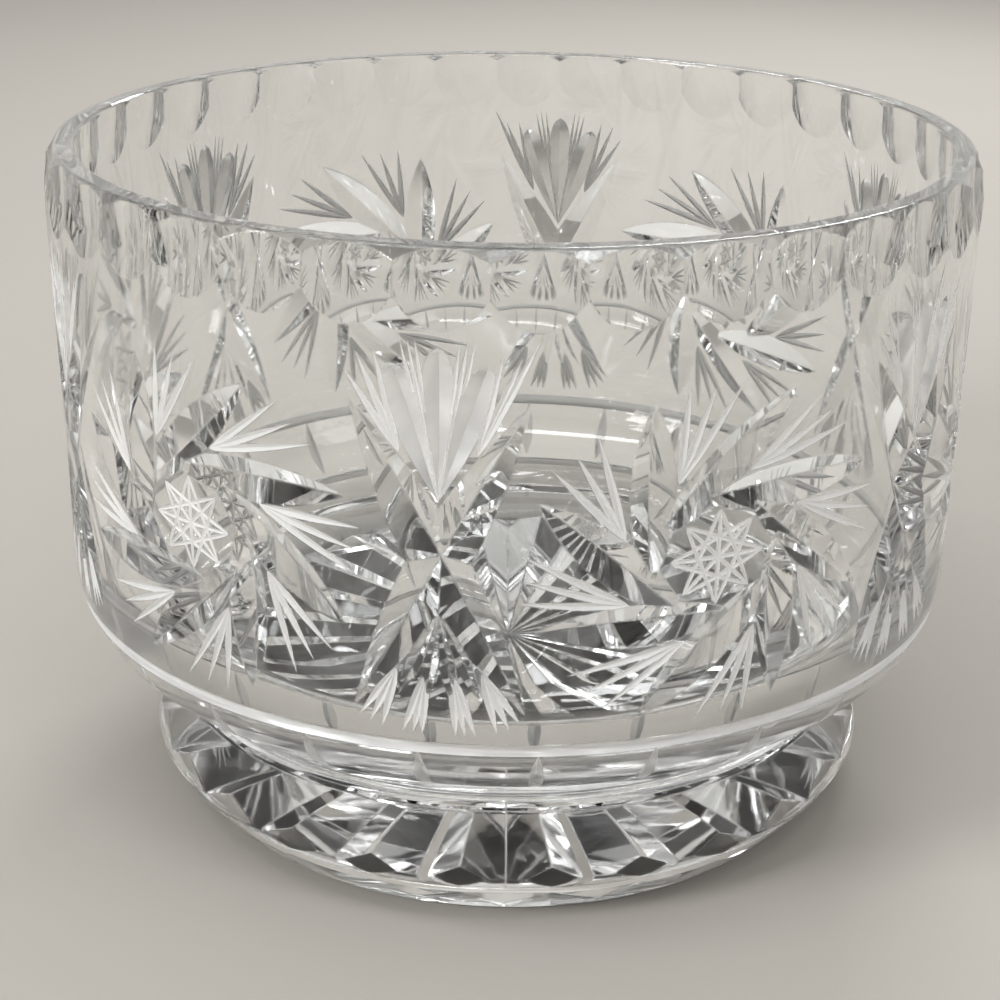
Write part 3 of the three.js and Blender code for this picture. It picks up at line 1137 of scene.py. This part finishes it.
class BOWL_OT_foot(bpy.types.Operator):
    """Turn the foot, cut the star under it, and put it in place of the plain one"""

    bl_idname = "bowl.foot"
    bl_label = "Star-Cut Foot"

    def execute(self, context):
        scene = context.scene
        body, foot, finish = scene.bowl_body, scene.bowl_foot, scene.bowl_finish
        outline = foot_outline(foot)
        side = fire_polished_crystal(finish, *FOOT_SIDE)
        star = acid_polished_cut(finish, *FOOT_STAR)
        blank = new_blank(outline, (side, star))
        store = new_store()
        cutter = bpy.data.objects.new("star", star_mesh(foot))
        cutter.data.materials.append(star)
        store.objects.link(cutter)
        mesh = cut_away(blank, store, "bowl_foot")
        shade(mesh, outline)
        mark_faces(mesh, fused_joint(), at_joint(body, foot))
        piece = add_object("bowl_foot", mesh)
        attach(piece, "root")
        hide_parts("rayed_foot")
        return {"FINISHED"}


class BOWL_OT_stage(bpy.types.Operator):
    """Lay the floor, and set the light and the camera"""

    bl_idname = "bowl.stage"
    bl_label = "Stage"

    def execute(self, context):
        scene = context.scene
        stage = scene.bowl_stage
        turns = np.arange(FLOOR_SIDES) * FULL_TURN / FLOOR_SIDES
        rim = space_points(stage.floor_width / 2, turns, FLOOR_LEVEL)
        mesh = bpy.data.meshes.new("floor")
        mesh.from_pydata([tuple(p) for p in rim], [], [tuple(range(FLOOR_SIDES))])
        mesh.materials.append(matt_floor(scene.bowl_finish))
        add_object("floor", mesh)
        studio_world()
        for name, lamp in LAMPS.items():
            soft_lamp(name, *lamp)
        photo_camera(stage)
        scene.view_settings.view_transform = "Standard"
        scene.cycles.max_bounces = GLASS_BOUNCES
        scene.cycles.transmission_bounces = GLASS_BOUNCES
        scene.cycles.glossy_bounces = 12
        scene.cycles.transparent_max_bounces = 24
        # Crisp darks in the glass, its shadow on the floor, and ground cuts without grain
        scene.cycles.caustics_refractive = False
        scene.cycles.sampling_pattern = "TABULATED_SOBOL"
        return {"FINISHED"}


class BOWL_PT_panel(bpy.types.Panel):
    """Sizes and steps of the crystal bowl"""

    bl_idname = "BOWL_PT_panel"
    bl_label = "Cut Crystal Bowl"
    bl_space_type = "VIEW_3D"
    bl_region_type = "UI"
    bl_category = "Crystal Bowl"

    def draw(self, context):
        for operator in OPERATORS:
            self.layout.operator(operator.bl_idname)
        for name, group in GROUPS.items():
            box = self.layout.box()
            box.label(text=group.__doc__)
            settings = getattr(context.scene, name)
            for key in group.__annotations__:
                box.prop(settings, key)


OPERATORS = (BOWL_OT_body, BOWL_OT_foot, BOWL_OT_stage)
GROUPS = {
    "bowl_body": BowlBody,
    "bowl_foot": BowlFoot,
    "bowl_rim": BowlRim,
    "bowl_pinwheel": BowlPinwheel,
    "bowl_hourglass": BowlHourglass,
    "bowl_olives": BowlOlives,
    "bowl_finish": BowlFinish,
    "bowl_stage": BowlStage,
}


def register():
    for group in GROUPS.values():
        bpy.utils.register_class(group)
    for name, group in GROUPS.items():
        setattr(bpy.types.Scene, name, bpy.props.PointerProperty(type=group))
    for item in (*OPERATORS, BOWL_PT_panel):
        bpy.utils.register_class(item)


def unregister():
    for item in (BOWL_PT_panel, *reversed(OPERATORS)):
        bpy.utils.unregister_class(item)
    for name, group in GROUPS.items():
        delattr(bpy.types.Scene, name)
        bpy.utils.unregister_class(group)


def main():
    """Builds the bowl and its stage."""
    register()
    bpy.ops.bowl.body()
    bpy.ops.bowl.foot()
    bpy.ops.bowl.stage()


if __name__ == "__main__":
    main()
